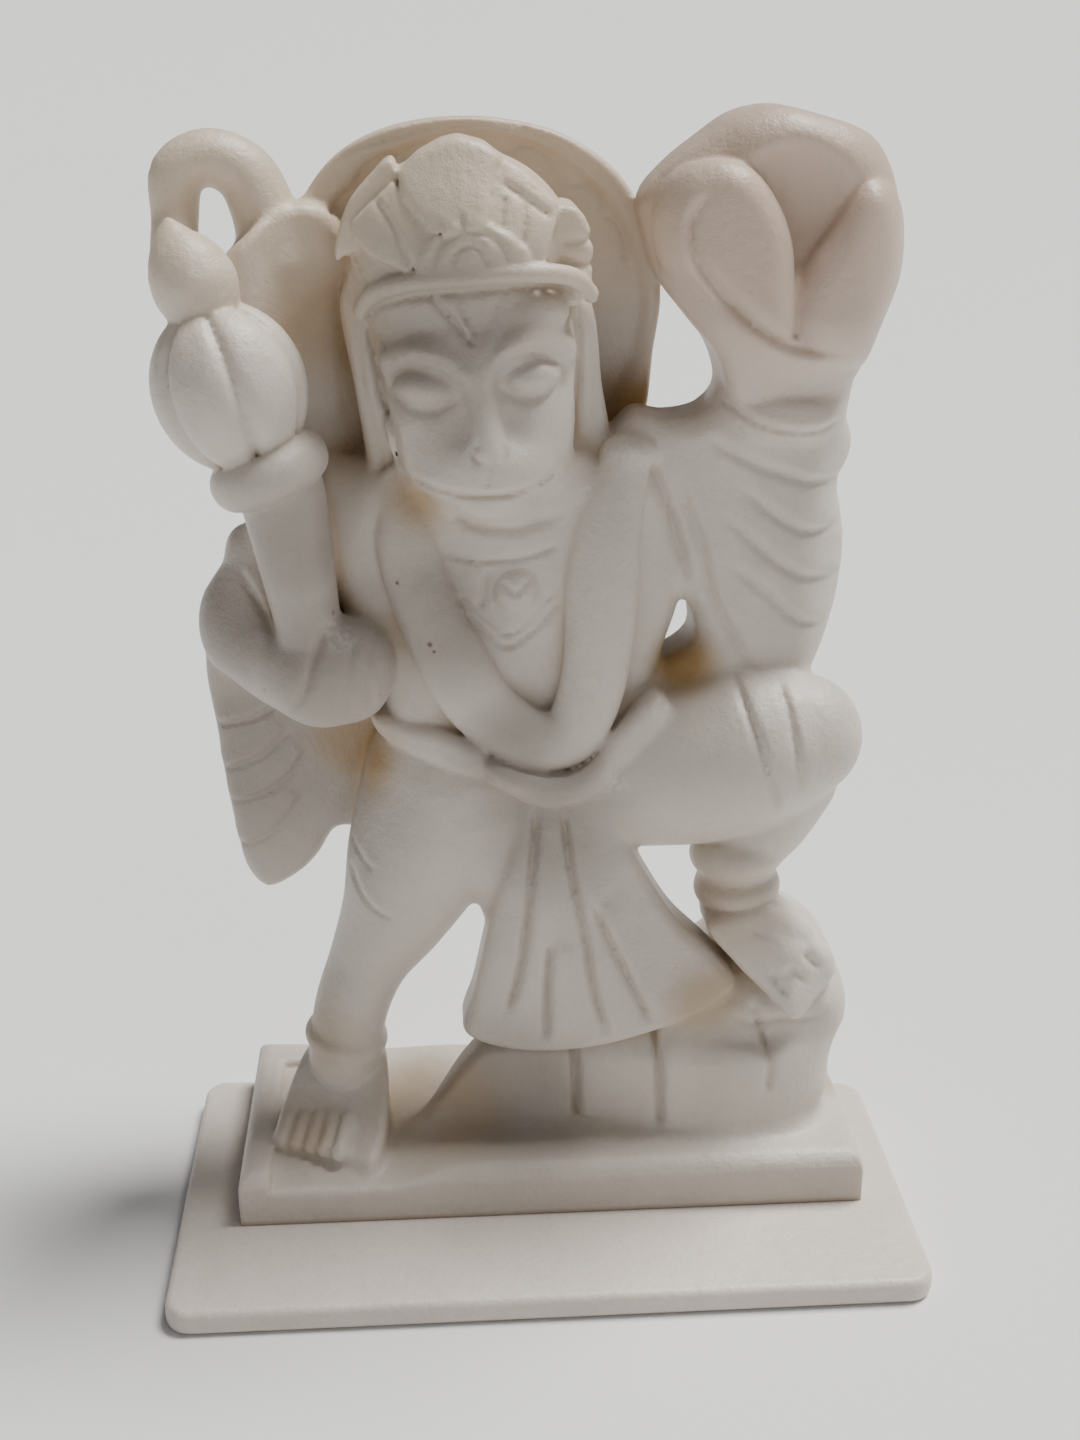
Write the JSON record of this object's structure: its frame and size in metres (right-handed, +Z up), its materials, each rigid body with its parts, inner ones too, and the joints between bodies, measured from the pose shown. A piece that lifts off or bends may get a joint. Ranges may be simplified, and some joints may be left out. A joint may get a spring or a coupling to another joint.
{
  "type": "marble hanuman figure",
  "caption": "Small carved marble figure of the monkey god lifting a mountain, with mace, tail and halo, on a block and an out-of-square slab.",
  "frame": {"origin": "centre of the bounding box at the slab's underside", "axes": "+Z up along the standing figure, front towards -Y, the figure's raised left hand towards +X"},
  "size_m": [0.1344, 0.0697, 0.1964],
  "materials": {
    "figure": "pale translucent marble, hand rubbed, with ochre stains in the hollows",
    "plinth": "sawn and rubbed pinkish white marble"
  },
  "bodies": {
    "root": {"figure": "figure", "plinth": "plinth"}
  },
  "joints": []
}
